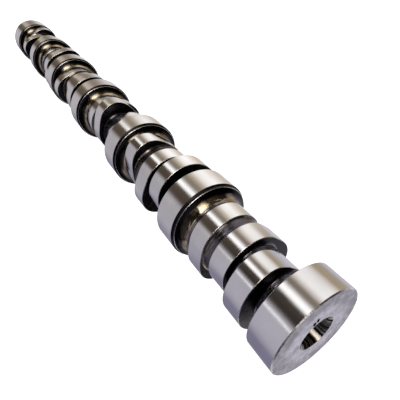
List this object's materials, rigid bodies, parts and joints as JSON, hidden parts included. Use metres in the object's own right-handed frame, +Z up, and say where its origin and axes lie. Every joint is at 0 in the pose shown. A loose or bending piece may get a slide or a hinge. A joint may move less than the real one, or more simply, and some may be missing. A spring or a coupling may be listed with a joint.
{
  "type": "camshaft",
  "caption": "Forged and ground steel camshaft of an inline diesel engine: bearing journals of one size with valve lobes and pump lobes between them, and a bore in the end face.",
  "frame": {"origin": "centre of the front end face, where the timing gear bolts on and the shaft stands", "axes": "+Z up the shaft's axis to the rear journal; +X is the side seen in the picture, 39 degrees before the first cylinder's first valve nose"},
  "size_m": [0.07, 0.07, 0.7529],
  "materials": {
    "steel": "ground journals and lobes, dark as-forged core and side faces"
  },
  "bodies": {
    "root": {"camshaft": "steel"}
  },
  "joints": []
}
